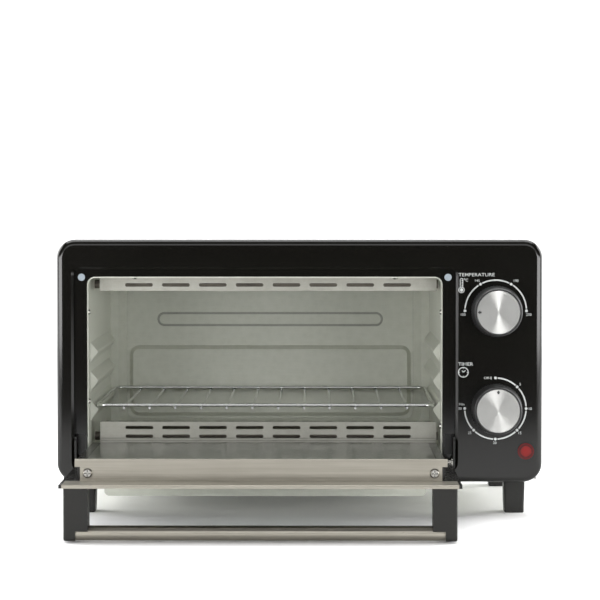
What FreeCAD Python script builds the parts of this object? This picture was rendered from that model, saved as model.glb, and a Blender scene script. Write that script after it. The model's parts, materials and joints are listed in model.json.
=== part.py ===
import FreeCAD, Part

import math
import os
from types import SimpleNamespace

import Sketcher
from FreeCAD import Placement, Rotation, Vector

# A small bench-top toaster oven with its drop-down door open.
# +X is to the right seen from the front, +Y to the back, +Z up. Z = 0 is the surface under the feet.
# Pieces are laid out from the plane of the front frame's face, and node() shifts each one by
# front_y, which centres the whole oven over the origin.

SIZES = (
    ("body_width", 360, "front frame, side to side"),
    ("body_height", 180, "front frame, bottom to top"),
    ("body_depth", 226, "front face to back cover"),
    ("foot_height", 26, "surface to the underside of the front frame"),
    ("sheet_steel", 0.8, "every pressed steel wall"),
    ("frame_depth", 14, "front frame, front to back"),
    ("frame_corner", 14, "rounded corners of the front frame"),
    ("frame_edge", 4.4, "rounded front edge of the front frame"),
    ("frame_wall", 3, "moulded wall of the control panel"),
    ("casing_inset", 3.5, "casing below the front frame's outline"),
    ("casing_corner", 11, "bend of the casing"),
    ("recess_margin", 12.8, "door recess to the left side of the body"),
    ("panel_width", 64.2, "control panel beside the door recess"),
    ("recess_depth", 4, "door recess"),
    ("recess_corner", 4.5, "door recess"),
    ("recess_bevel", 1.8, "sloped rim of the door recess"),
    ("recess_top_gap", 22, "recess to the top of the front frame"),
    ("sill_height", 10, "strip of front frame below the door"),
    ("mouth_margin", 10.5, "opening to the side of the door recess"),
    ("mouth_top_gap", 28.5, "opening to the top of the front frame"),
    ("mouth_corner", 5, "rounded corners of the opening"),
    ("mouth_flange", 6, "steel flange behind the front frame"),
    ("ring_start", 5, "front edge of the steel ring, from the front face"),
    ("rear_room", 26, "back of the cavity to the back of the body"),
    ("cavity_headroom", 2.5, "cavity roof above the opening"),
    ("bulge_depth", 8.5, "dish pressed in the cavity back"),
    ("bulge_inset", 6.5, "rim beside the dish"),
    ("bulge_slope", 6.5, "sloped side of the dish"),
    ("bulge_rise", 27.2, "lower edge of the dish above the base plate"),
    ("oval_margin", 38, "pressed oval to the side of the opening"),
    ("oval_height", 11.6, "pressed oval on the cavity back"),
    ("oval_groove", 1.7, "line of the pressed oval"),
    ("oval_depth", 1.1, "line of the pressed oval"),
    ("oval_drop", 40.5, "middle of the pressed oval below the top of the opening"),
    ("step_depth", 3, "lower part of the dish stands forward"),
    ("step_drop", 65.2, "lower part of the dish below the top of the opening"),
    ("step_inset", 5, "lower part of the dish inside its sloped sides"),
    ("rib_pitch", 21.8, "side ribs, crest to crest"),
    ("rib_reach", 4.8, "side ribs out of the wall"),
    ("rib_base", 15, "side ribs at the wall"),
    ("rib_crest", 1.6, "flat of a side rib"),
    ("rack_rib_rise", 49.7, "crest of the rib that carries the rack above the base plate"),
    ("rib_ramp", 6, "sloped front end of a side rib"),
    ("rib_rear_gap", 16, "ribs to the cavity back"),
    ("inside_y", 21.5, "first things behind the closed door"),
    ("guard_margin", 5, "slotted heater guards inside the opening"),
    ("guard_shift", 2.1, "slotted heater guards to the right of the oven's middle"),
    ("guard_lip", 7, "bent lip of the heater guards"),
    ("upper_guard_drop", 10.2, "lower edge of the upper guard below the top of the opening"),
    ("lower_guard_rise", 41.2, "upper edge of the lower guard above the base plate"),
    ("slot_bridge", 6.8, "steel between two guard slots"),
    ("slot_height", 2.6, "guard slots"),
    ("slot_margin", 29.4, "middle of the end slots to the end of a guard"),
    ("slot_count", 8, "guard slots in a row"),
    ("slot_row", 6.5, "guard slot rows"),
    ("slot_edge", 4.4, "guard edge to the first row of slots"),
    ("heater_radius", 3.25, "tubular heating elements"),
    ("heater_front_y", 60, "front pair of elements"),
    ("heater_rear_gap", 50, "rear pair of elements to the cavity back"),
    ("heater_roof_gap", 9, "upper elements below the roof"),
    ("heater_floor_gap", 27, "lower elements above the base plate"),
    ("heater_overhang", 9, "element ends past the cavity walls"),
    ("collar_radius", 5.5, "ceramic collars in the wall"),
    ("collar_flange", 7.5, "ceramic collars outside the wall"),
    ("collar_length", 5, "ceramic collars outside the wall"),
    ("rack_wire", 1.3, "radius of the rack's outline wire"),
    ("rack_rod", 1.0, "radius of the rack's rods"),
    ("rack_corner", 6, "bend of the rack's outline"),
    ("rack_rod_margin", 24.85, "outer rods to the side of the opening"),
    ("rack_rod_count", 12, "rack rods"),
    ("rack_rear_gap", 2.5, "rack to the cavity back"),
    ("weld_sink", 0.3, "rod pressed into the outline wire"),
    ("hinge_y", 3, "door axis behind the front face"),
    ("hinge_rise", 14.4, "door axis above the underside of the front frame"),
    ("door_margin", 3.2, "door inside its recess, each side"),
    ("door_length", 143.2, "door axis to the lip"),
    ("door_box_margin", 3.5, "raised part of the door inside the opening"),
    ("door_box_height", 15.4, "raised part of the door"),
    ("door_plate", 2.5, "flange of the door"),
    ("door_start", 4, "door axis to the near edge of the door"),
    ("rail_depth", 23.6, "flat part of the steel door rail"),
    ("side_width", 6, "door side beside the glass"),
    ("side_shelf", 6, "ledge of the door side under the glass"),
    ("glass_thickness", 4, "door glass"),
    ("rail_sheet", 1, "steel of the door rail"),
    ("rail_wing", 5.5, "upper wider part of the rail's face"),
    ("rail_step", 1.8, "rail's face wider than the door sides, each side"),
    ("lip_inset", 1.8, "rail's lip short of the door's flange"),
    ("pin_radius", 2, "hinge pins"),
    ("pin_collar", 3.5, "collar on the hinge pins"),
    ("knuckle_radius", 3.6, "door side round the hinge pin"),
    ("bracket_steel", 1.5, "hinge brackets"),
    ("bracket_height", 24, "hinge brackets"),
    ("pocket_width", 7.8, "hinge pockets in the front frame"),
    ("pocket_height", 43, "hinge pockets in the front frame"),
    ("bumper_radius", 2.65, "door bumpers"),
    ("bumper_reach", 0.8, "door bumpers out of the recess"),
    ("bumper_inset", 5.7, "door bumpers to the side of the recess"),
    ("bumper_drop", 6, "door bumpers below the recess rim"),
    ("post_width", 16.8, "handle posts across"),
    ("post_depth", 15, "handle posts along the door"),
    ("post_end", 1.2, "handle posts to the lip"),
    ("post_inset", 3.15, "handle posts to the side of the door"),
    ("post_lug", 8, "part of the post that caps the bar"),
    ("post_length", 36.6, "door flange to the end of the post"),
    ("post_saddle", 7, "inner part of the post shorter than the cap"),
    ("bar_depth", 12, "handle bar along the door"),
    ("bar_height", 10, "handle bar"),
    ("bar_wall", 1.2, "handle bar"),
    ("control_offset", 2, "knobs left of the control panel's middle"),
    ("switch_margin", 10.1, "timer case inside the control panel, each side"),
    ("temperature_share", 0.706, "temperature knob up the front frame, of its height"),
    ("timer_share", 0.3035, "timer knob up the front frame, of its height"),
    ("knob_radius", 19.1, "knobs at the panel"),
    ("knob_rim", 17.6, "knobs at the front"),
    ("knob_reach", 20, "knobs out of the panel"),
    ("knob_gap", 0.6, "knobs off the panel"),
    ("knob_groove", 0.55, "radius of the grip grooves"),
    ("groove_count", 54, "grip grooves round a knob"),
    ("disc_radius", 16.3, "metal disc of a knob"),
    ("disc_sheet", 1.2, "metal disc of a knob"),
    ("shaft_radius", 3, "control shafts"),
    ("bush_radius", 4.8, "threaded bushes of the controls"),
    ("bush_length", 11, "threaded bushes of the controls"),
    ("bracket_y", 16, "control bracket behind the front face"),
    ("lamp_inset", 12.3, "lamp to the right side of the body"),
    ("lamp_rise", 23.3, "lamp above the underside of the front frame"),
    ("lamp_radius", 6.1, "lamp lens rim"),
    ("lamp_bore", 4.9, "lamp body in the front frame"),
    ("lamp_reach", 1.8, "lamp lens out of the panel"),
    ("tray_margin", 11, "crumb tray inside the opening, each side"),
    ("tray_drop", 11.6, "bottom of the tray below the front frame"),
    ("tray_front_y", 11, "crumb tray"),
    ("tray_rear_gap", 11, "crumb tray to the cavity back"),
    ("tray_corner", 4, "lower edges of the tray"),
    ("tray_lip", 4, "edges that ride on the runners"),
    ("opening_margin", 7, "crumb opening inside the tray, each side"),
    ("opening_start", 21, "crumb opening behind the front of the tray"),
    ("opening_end", 7, "crumb opening to the back of the tray"),
    ("foot_width", 16, "feet across"),
    ("foot_depth", 17, "feet front to back"),
    ("foot_edge", 10.5, "feet in from the side of the body"),
    ("front_foot_y", 27, "front feet behind the front face"),
    ("rear_foot_gap", 12, "rear feet to the back cover"),
    ("gland_radius", 8, "cord gland"),
    ("gland_reach", 7, "cord gland out of the back cover"),
    ("gland_inset", 30, "cord gland to the right side of the body"),
    ("gland_rise", 26, "cord gland above the underside of the front frame"),
    ("running_gap", 0.05, "pins and shafts in their bores"),
    ("fit_gap", 0.3, "pieces that sit beside each other"),
)

doc = FreeCAD.newDocument("ToasterOven")
sheet = doc.addObject("Spreadsheet::Sheet", "Sizes")
for row, (alias, number, note) in enumerate(SIZES, start=1):
    sheet.set(f"A{row}", alias)
    sheet.set(f"B{row}", str(number))
    sheet.set(f"C{row}", note)
    sheet.setAlias(f"B{row}", alias)
doc.recompute()


class Size:
    """A number that carries the sheet expression it comes from."""

    def __init__(self, value, text):
        self.value = value
        self.text = text

    def __add__(self, other):
        other = as_size(other)
        return Size(self.value + other.value, f"({self.text} + {other.text})")

    def __sub__(self, other):
        other = as_size(other)
        return Size(self.value - other.value, f"({self.text} - {other.text})")

    def __mul__(self, other):
        other = as_size(other)
        return Size(self.value * other.value, f"({self.text} * {other.text})")

    def __truediv__(self, other):
        other = as_size(other)
        return Size(self.value / other.value, f"({self.text} / {other.text})")

    def __radd__(self, other):
        return as_size(other) + self

    def __rsub__(self, other):
        return as_size(other) - self

    def __rmul__(self, other):
        return as_size(other) * self

    def __neg__(self):
        return 0 - self


def as_size(number):
    return number if isinstance(number, Size) else Size(float(number), f"({float(number)})")


def root(number):
    return Size(math.sqrt(number.value), f"sqrt({number.text})")


size = SimpleNamespace(**{alias: Size(float(number), "Sizes." + alias) for alias, number, _ in SIZES})

# Levels and places that several pieces share, all from the front face, the middle and the surface.
steel = size.sheet_steel
frame_bottom = size.foot_height
frame_top = frame_bottom + size.body_height
sill_top = frame_bottom + size.sill_height
recess_top = frame_top - size.recess_top_gap
mouth_top = frame_top - size.mouth_top_gap
recess_width = size.body_width - size.recess_margin - size.panel_width
oven_x = size.recess_margin + recess_width / 2 - size.body_width / 2
mouth_width = recess_width - size.mouth_margin * 2
mouth_half = mouth_width / 2
mouth_height = mouth_top - sill_top
cavity_back_y = size.body_depth - size.rear_room
flange_y = size.frame_depth + size.fit_gap
cavity_y = flange_y + steel
roof_z = mouth_top + size.cavity_headroom
base_z = frame_bottom + 1
base_top = base_z + steel
casing_half = size.body_width / 2 - size.casing_inset
casing_top = frame_top - size.casing_inset
back_inner_y = size.body_depth - steel
hinge_z = frame_bottom + size.hinge_rise
door_bottom = hinge_z - 0.1 - size.door_plate
door_floor = hinge_z - 0.1
door_top = door_floor + size.door_box_height
door_lip_y = size.hinge_y - size.door_length
rail_y = door_lip_y + size.rail_depth
door_near_y = size.hinge_y - size.door_start
door_width = recess_width - size.door_margin * 2
door_box_width = mouth_width - size.door_box_margin * 2
box_half = door_box_width / 2
door_half = door_width / 2
bumper_x = recess_width / 2 - size.bumper_inset
post_outer = door_half - size.post_inset
glass_low = door_top - size.glass_thickness
rear_reach = size.body_depth + size.gland_reach
bulge_bottom = base_top + size.bulge_rise
oval_length = mouth_width - size.oval_margin * 2
oval_z = mouth_top - size.oval_drop
rack_rib_z = base_top + size.rack_rib_rise
guard_width = mouth_width - size.guard_margin * 2
guard_x = oven_x + size.guard_shift
upper_guard_z = mouth_top - size.upper_guard_drop
lower_guard_z = base_top + size.lower_guard_rise
slot_pitch = (guard_width - size.slot_margin * 2) / (size.slot_count - 1)
slot_length = slot_pitch - size.slot_bridge
heater_rear_y = cavity_back_y - size.heater_rear_gap
rack_rod_pitch = (mouth_width - size.rack_rod_margin * 2) / (size.rack_rod_count - 1)
control_x = size.body_width / 2 - size.panel_width / 2 - size.control_offset
temperature_z = frame_bottom + size.body_height * size.temperature_share
timer_z = frame_bottom + size.body_height * size.timer_share
lamp_x = size.body_width / 2 - size.lamp_inset
lamp_z = frame_bottom + size.lamp_rise
gland_x = size.body_width / 2 - size.gland_inset
gland_z = frame_bottom + size.gland_rise
tray_width = mouth_width - size.tray_margin * 2
tray_length = cavity_back_y - size.tray_rear_gap - size.tray_front_y
opening_width = tray_width - size.opening_margin * 2
opening_y = size.tray_front_y + size.opening_start
opening_length = tray_length - size.opening_start - size.opening_end
front_y = -(door_lip_y + rear_reach) / 2

LEFT, RIGHT = -1, 1
SIDES = ((LEFT, "left"), (RIGHT, "right"))
AXIS_TURN = {
    "x": Rotation(Vector(0, 1, 0), 90),
    "y": Rotation(Vector(1, 0, 0), -90),
    "z": Rotation(),
}
FACING = {
    "+x": Rotation(Vector(0, 1, 0), 90),
    "-x": Rotation(Vector(0, 1, 0), -90),
    "+y": Rotation(Vector(1, 0, 0), -90),
    "-y": Rotation(Vector(1, 0, 0), 90),
    "+z": Rotation(),
    "-z": Rotation(Vector(1, 0, 0), 180),
}
PLANES = {"front": "XZ_Plane", "side": "YZ_Plane", "top": "XY_Plane"}

places = {}
nodes = []


def bind(thing, **sizes):
    for name, number in sizes.items():
        thing.setExpression(name, as_size(number).text)


def place(thing, x=0, y=0, z=0, turn=None):
    """Put a piece at a point laid out from the front face."""
    if turn is not None:
        thing.Placement = Placement(Vector(), turn)
    places[thing.Name] = (x, y, z)
    for axis, number in zip("xyz", (x, y, z)):
        thing.setExpression("Placement.Base." + axis, as_size(number).text)
    return thing


def node(label, thing):
    """Name a finished sub-part and shift it with the rest of the oven."""
    thing.Label = label
    x, y, z = places.get(thing.Name, (0, 0, 0))
    place(thing, x, y + front_y, z)
    nodes.append(thing)
    return thing


def box(name, low, high):
    thing = doc.addObject("Part::Box", name)
    bind(thing, Length=high[0] - low[0], Width=high[1] - low[1], Height=high[2] - low[2])
    return place(thing, *low)


def rod(name, axis, radius, start, length):
    thing = doc.addObject("Part::Cylinder", name)
    bind(thing, Radius=radius, Height=length)
    return place(thing, *start, turn=AXIS_TURN[axis])


def join(name, pieces):
    thing = doc.addObject("Part::MultiFuse", name)
    thing.Shapes = list(pieces)
    return thing


def group(name, pieces):
    """Separate solids that share a node."""
    thing = doc.addObject("Part::Compound", name)
    thing.Links = list(pieces)
    return thing


def cut(name, base, tools):
    thing = doc.addObject("Part::Cut", name)
    thing.Base = base
    thing.Tool = tools[0] if len(tools) == 1 else join(name + "_tools", tools)
    return thing


def span(side, inner, outer):
    """The low and high X of a stretch given outward from the middle of the oven."""
    if side == LEFT:
        return oven_x - outer, oven_x - inner
    return oven_x + inner, oven_x + outer


# Sketch outlines. Each is held by dimensions that read the sheet.
def pin(sketch, geometry, point, x, y):
    for kind, number in (("DistanceX", x), ("DistanceY", y)):
        number = as_size(number)
        index = sketch.addConstraint(Sketcher.Constraint(kind, -1, 1, geometry, point, number.value))
        sketch.setExpression(f"Constraints[{index}]", number.text)


def at(x, y):
    return Vector(as_size(x).value, as_size(y).value, 0)


def polygon(sketch, corners):
    first = sketch.GeometryCount
    count = len(corners)
    for i, corner in enumerate(corners):
        sketch.addGeometry(Part.LineSegment(at(*corner), at(*corners[(i + 1) % count])), False)
    for i in range(count):
        following = first + (i + 1) % count
        sketch.addConstraint(Sketcher.Constraint("Coincident", first + i, 2, following, 1))
    for i, corner in enumerate(corners):
        pin(sketch, first + i, 1, *corner)


def rectangle(sketch, low, high):
    polygon(sketch, [low, (high[0], low[1]), high, (low[0], high[1])])


def circle(sketch, x, y, radius):
    index = sketch.addGeometry(Part.Circle(at(x, y), Vector(0, 0, 1), as_size(radius).value), False)
    pin(sketch, index, 3, x, y)
    held = sketch.addConstraint(Sketcher.Constraint("Radius", index, as_size(radius).value))
    sketch.setExpression(f"Constraints[{held}]", as_size(radius).text)


def rounded(sketch, low, high, radius):
    """A rectangle with four round corners; a radius of half its height makes a slot."""
    (x0, y0), (x1, y1) = low, high
    runs = (
        ((x0 + radius, y0), (x1 - radius, y0)),
        ((x1, y0 + radius), (x1, y1 - radius)),
        ((x1 - radius, y1), (x0 + radius, y1)),
        ((x0, y1 - radius), (x0, y0 + radius)),
    )
    centres = (
        (x1 - radius, y0 + radius),
        (x1 - radius, y1 - radius),
        (x0 + radius, y1 - radius),
        (x0 + radius, y0 + radius),
    )
    first = sketch.GeometryCount
    for i in range(4):
        sketch.addGeometry(Part.LineSegment(at(*runs[i][0]), at(*runs[i][1])), False)
        whole = Part.Circle(at(*centres[i]), Vector(0, 0, 1), as_size(radius).value)
        start = math.radians(90 * i - 90)
        sketch.addGeometry(Part.ArcOfCircle(whole, start, start + math.pi / 2), False)
    for i in range(4):
        run, bend = first + 2 * i, first + 2 * i + 1
        pin(sketch, run, 1, *runs[i][0])
        pin(sketch, run, 2, *runs[i][1])
        sketch.addConstraint(Sketcher.Constraint("Coincident", run, 2, bend, 1))
        sketch.addConstraint(Sketcher.Constraint("Coincident", bend, 2, first + 2 * ((i + 1) % 4), 1))
        held = sketch.addConstraint(Sketcher.Constraint("Radius", bend, as_size(radius).value))
        sketch.setExpression(f"Constraints[{held}]", as_size(radius).text)


def slot(sketch, low, high):
    """A slot along the sketch's X, with round ends."""
    (x0, y0), (x1, y1) = low, high
    radius = (y1 - y0) / 2
    middle = y0 + radius
    first = sketch.GeometryCount
    for x, start in ((x1 - radius, -math.pi / 2), (x0 + radius, math.pi / 2)):
        whole = Part.Circle(at(x, middle), Vector(0, 0, 1), radius.value)
        sketch.addGeometry(Part.ArcOfCircle(whole, start, start + math.pi), False)
    sketch.addGeometry(Part.LineSegment(at(x1 - radius, y1), at(x0 + radius, y1)), False)
    sketch.addGeometry(Part.LineSegment(at(x0 + radius, y0), at(x1 - radius, y0)), False)
    right_end, left_end, upper, lower = range(first, first + 4)
    for one, other in ((right_end, upper), (upper, left_end), (left_end, lower), (lower, right_end)):
        sketch.addConstraint(Sketcher.Constraint("Coincident", one, 2, other, 1))
    pin(sketch, upper, 1, x1 - radius, y1)
    pin(sketch, upper, 2, x0 + radius, y1)
    pin(sketch, lower, 1, x0 + radius, y0)
    pin(sketch, lower, 2, x1 - radius, y0)
    for end, x in ((right_end, x1 - radius), (left_end, x0 + radius)):
        held = sketch.addConstraint(Sketcher.Constraint("DistanceX", -1, 1, end, 3, x.value))
        sketch.setExpression(f"Constraints[{held}]", x.text)


# Part Design steps. A "front" sketch lies across Y, a "side" one across X and a "top" one across Z.
def new_body(name):
    return place(doc.addObject("PartDesign::Body", name))


def draw(body, view, depth, outlines):
    """A sketch at a depth along +Y, +X or +Z, holding one or more closed outlines."""
    plane = next(f for f in body.Origin.OriginFeatures if f.Role == PLANES[view])
    sketch = body.newObject("Sketcher::SketchObject", body.Name + "_sketch")
    sketch.AttachmentSupport = [(plane, "")]
    sketch.MapMode = "FlatFace"
    offset = -as_size(depth) if view == "front" else as_size(depth)
    sketch.setExpression("AttachmentOffset.Base.z", offset.text)
    for outline, *values in outlines:
        outline(sketch, *values)
    return sketch


def pad(body, view, depth, length, outlines, taper=None):
    """Add material from depth onward along the view's axis."""
    feature = body.newObject("PartDesign::Pad", body.Name + "_pad")
    feature.Profile = draw(body, view, depth, outlines)
    feature.Reversed = view == "front"
    bind(feature, Length=length)
    if taper is not None:
        bind(feature, TaperAngle=taper)
    return feature


def pocket(body, view, depth, length, outlines, taper=None):
    """Take material away from depth onward along the view's axis."""
    doc.recompute()
    before = body.Shape.Volume
    feature = body.newObject("PartDesign::Pocket", body.Name + "_pocket")
    feature.Profile = draw(body, view, depth, outlines)
    feature.Reversed = view != "front"
    bind(feature, Length=length)
    if taper is not None:
        bind(feature, TaperAngle=taper)
    doc.recompute()
    if body.Shape.Volume > before - 1e-3:
        raise RuntimeError(f"{feature.Name} cuts nothing")
    return feature


def repeat(body, feature, axis_role, pitch, count):
    """Repeat a feature along one of the body's axes."""
    pattern = body.newObject("PartDesign::LinearPattern", body.Name + "_row")
    pattern.Originals = [feature]
    axis = next(f for f in body.Origin.OriginFeatures if f.Role == axis_role)
    pattern.Direction = (axis, [""])
    bind(pattern, Occurrences=count, Length=pitch * (count - 1))
    body.Tip = pattern
    doc.recompute()
    return pattern


def soften(body, kind, radius, chosen):
    """Round or bevel the edges that a test picks."""
    doc.recompute()
    base = body.Tip
    names = [f"Edge{i}" for i, edge in enumerate(base.Shape.Edges, start=1) if chosen(edge)]
    if not names:
        raise RuntimeError(f"{body.Name} has no such edge")
    feature = body.newObject("PartDesign::" + kind, body.Name + "_" + kind.lower())
    feature.Base = (base, names)
    bind(feature, **{"Radius" if kind == "Fillet" else "Size": radius})
    doc.recompute()
    return feature


def lies_at(edge, **levels):
    """Whether an edge lies wholly at the given x, y or z."""
    bounds = edge.BoundBox
    return all(
        abs(getattr(bounds, axis.upper() + end) - as_size(level).value) < 1e-4
        for axis, level in levels.items()
        for end in ("Min", "Max")
    )


def screw(name, facing, point, head_radius, length):
    """A pan-head screw with a cross recess. Its head rests on the point and faces the given way."""
    head_height = head_radius * 0.5
    blade = head_radius * 0.62
    cone = doc.addObject("Part::Cone", name + "_head")
    bind(cone, Radius1=head_radius, Radius2=head_radius * 0.72, Height=head_height)
    shank = doc.addObject("Part::Cylinder", name + "_shank")
    bind(shank, Radius=shank_of(head_radius), Height=length)
    place(shank, 0, 0, -as_size(length))
    depth = head_height * 0.4
    width = head_radius * 0.12
    blades = [
        box(name + "_slot", (-blade, -width, depth), (blade, width, head_height + 1)),
        box(name + "_cross", (-width, -blade, depth), (width, blade, head_height + 1)),
    ]
    made = cut(name, join(name + "_blank", [cone, shank]), blades)
    return place(made, *point, turn=FACING[facing])


def shank_of(head_radius):
    return head_radius * 0.5


def screw_hole(name, facing, point, head_radius, length):
    """The hole that a screw of that size passes through."""
    thing = doc.addObject("Part::Cylinder", name)
    bind(thing, Radius=shank_of(head_radius) + size.running_gap, Height=length + size.fit_gap)
    x, y, z = point
    reach = as_size(length) + size.fit_gap
    start = {
        "+x": (x - reach, y, z),
        "-x": (x, y, z),
        "+y": (x, y - reach, z),
        "-y": (x, y, z),
        "+z": (x, y, z - reach),
        "-z": (x, y, z),
    }[facing]
    return place(thing, *start, turn=AXIS_TURN[facing[1]])


def screws(label, facing, points, head_radius, length):
    """A node of identical screws."""
    head_radius = as_size(head_radius)
    made = [screw(f"{label}_{i}", way(facing, i), p, head_radius, length) for i, p in enumerate(points)]
    return node(label, group(label + "_set", made))


def screw_holes(label, facing, points, head_radius, length):
    head_radius = as_size(head_radius)
    return [
        screw_hole(f"{label}_{i}", way(facing, i), p, head_radius, length) for i, p in enumerate(points)
    ]


def way(facing, index):
    return facing if isinstance(facing, str) else facing[index]


# Front frame and the oven's mouth.
def front_frame():
    body = new_body("front_frame")
    half = size.body_width / 2
    recess_x = oven_x - recess_width / 2, oven_x + recess_width / 2
    rear = size.frame_depth
    pad(body, "front", 0, rear, [(rounded, (-half, frame_bottom), (half, frame_top), size.frame_corner)])
    soften(body, "Fillet", size.frame_edge, lambda edge: lies_at(edge, y=0))
    recess = (rounded, (recess_x[0], sill_top), (recess_x[1], recess_top), size.recess_corner)
    pocket(body, "front", 0, size.recess_depth, [recess])

    def rim(edge):
        return (
            lies_at(edge, y=0)
            and edge.BoundBox.XMin > recess_x[0].value - 1e-3
            and edge.BoundBox.XMax < recess_x[1].value + 1e-3
        )

    soften(body, "Chamfer", size.recess_bevel, rim)
    reach = mouth_half + steel + size.running_gap
    mouth = (
        (oven_x - reach, sill_top),
        (oven_x + reach, mouth_top + steel + size.running_gap),
        size.mouth_corner + steel + size.running_gap,
    )
    pocket(body, "front", 0, rear, [(rounded, *mouth)])
    hinge_pockets(body)
    bay = (
        (recess_x[1] + 3, frame_bottom + size.frame_wall),
        (half - size.frame_wall, frame_top - size.frame_wall),
        size.frame_corner - size.frame_wall,
    )
    pocket(body, "front", size.frame_wall, rear - size.frame_wall, [(rounded, *bay)])
    holes = [
        (circle, control_x, temperature_z, size.shaft_radius + 1),
        (circle, control_x, timer_z, size.shaft_radius + 1),
        (circle, lamp_x, lamp_z, size.lamp_bore),
    ]
    pocket(body, "front", 0, size.frame_wall, holes)
    return node("front_frame", body)


pocket_floor_y = size.frame_depth - size.frame_wall
pocket_outer = recess_width / 2 - 0.2
pocket_inner = pocket_outer - size.pocket_width
pocket_top = sill_top + size.pocket_height


def hinge_pockets(body):
    """The two deeper slots that hold the hinges, and the notches their pins pass through."""
    slots, notches = [], []
    for side, _ in SIDES:
        low, high = span(side, pocket_inner, pocket_outer)
        slots.append((rectangle, (low, sill_top), (high, pocket_top)))
        low, high = span(side, mouth_half, pocket_inner + 1)
        notches.append((rectangle, (low, sill_top), (high, hinge_z + size.knuckle_radius)))
    pocket(body, "front", 0, pocket_floor_y, slots)
    soften(
        body,
        "Fillet",
        size.pocket_width / 2 - size.fit_gap,
        lambda edge: lies_at(edge, z=pocket_top) and edge.BoundBox.XLength < 1e-4,
    )
    pocket(body, "front", size.recess_depth, size.pin_radius * 2, notches)


def mouth_ring():
    body = new_body("ring_sheet")

    def outline(out):
        low = oven_x - mouth_half - out, sill_top + steel + size.running_gap - out
        high = oven_x + mouth_half + out, mouth_top + out
        return rounded, low, high, size.mouth_corner + out

    flange = size.mouth_flange
    pad(body, "front", flange_y, steel, [outline(flange), outline(as_size(0))])
    start = size.ring_start
    pad(body, "front", start, flange_y - start + steel / 2, [outline(steel), outline(as_size(0))])
    holes = screw_holes("ring_hole", mouth_screw_ways, mouth_screw_points, mouth_screw_head, steel)
    return bored("mouth_ring", body, holes)


mouth_screw_y = size.ring_start + 4
mouth_left, mouth_right = oven_x - mouth_half, oven_x + mouth_half
mouth_screw_points = [
    (mouth_left, mouth_screw_y, sill_top + mouth_height * 0.82),
    (mouth_left, mouth_screw_y, sill_top + mouth_height * 0.35),
    (mouth_right, mouth_screw_y, sill_top + mouth_height * 0.82),
    (mouth_right, mouth_screw_y, sill_top + mouth_height * 0.22),
    (oven_x - mouth_half * 0.74, mouth_screw_y, mouth_top),
    (oven_x + mouth_half * 0.74, mouth_screw_y, mouth_top),
]
mouth_screw_ways = ("+x", "+x", "-x", "-x", "-z", "-z")
mouth_screw_head = 2.2


# Oven cavity.
heater_low_z = base_top + size.heater_floor_gap
heater_high_z = roof_z - size.heater_roof_gap
heater_places = (
    ("upper_front_heater", size.heater_front_y, heater_high_z),
    ("upper_rear_heater", heater_rear_y, heater_high_z),
    ("lower_front_heater", size.heater_front_y, heater_low_z),
    ("lower_rear_heater", heater_rear_y, heater_low_z),
)


def cavity_wall(side, word):
    body = new_body(f"cavity_{word}_wall")
    low, high = span(side, mouth_half, mouth_half + steel)
    rear = cavity_back_y + steel
    pad(body, "side", low, steel, [(rectangle, (cavity_y, base_top), (rear, roof_z))])
    inner, crest = (high, high + size.rib_reach) if side == LEFT else (low, low - size.rib_reach)
    ribs = []
    for i in range(3):
        middle = rack_rib_z + size.rib_pitch * i
        corners = [
            (inner, middle - size.rib_base / 2),
            (crest, middle - size.rib_crest / 2),
            (crest, middle + size.rib_crest / 2),
            (inner, middle + size.rib_base / 2),
        ]
        ribs.append((polygon, corners))
    length = cavity_back_y - size.rib_rear_gap - size.inside_y
    pad(body, "front", size.inside_y, length, ribs)
    soften(body, "Fillet", size.rib_crest * 0.9, lambda edge: lies_at(edge, x=crest))
    past = crest + (crest - inner) / 4
    ramp = [
        (inner, size.inside_y - 1),
        (past, size.inside_y - 1),
        (past, size.inside_y + size.rib_ramp * 1.25),
        (inner, size.inside_y),
    ]
    low_z = rack_rib_z - size.rib_base
    pocket(body, "top", low_z, (size.rib_pitch + size.rib_base) * 2, [(polygon, ramp)])
    holes = [(circle, y, z, size.collar_radius) for _, y, z in heater_places]
    pocket(body, "side", low, steel, holes)
    return node(f"cavity_{word}_wall", body)


def cavity_roof():
    half = mouth_half + steel
    low = oven_x - half, cavity_y, roof_z
    high = oven_x + half, cavity_back_y + steel, roof_z + steel
    return node("cavity_roof", box("roof", low, high))


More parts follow.
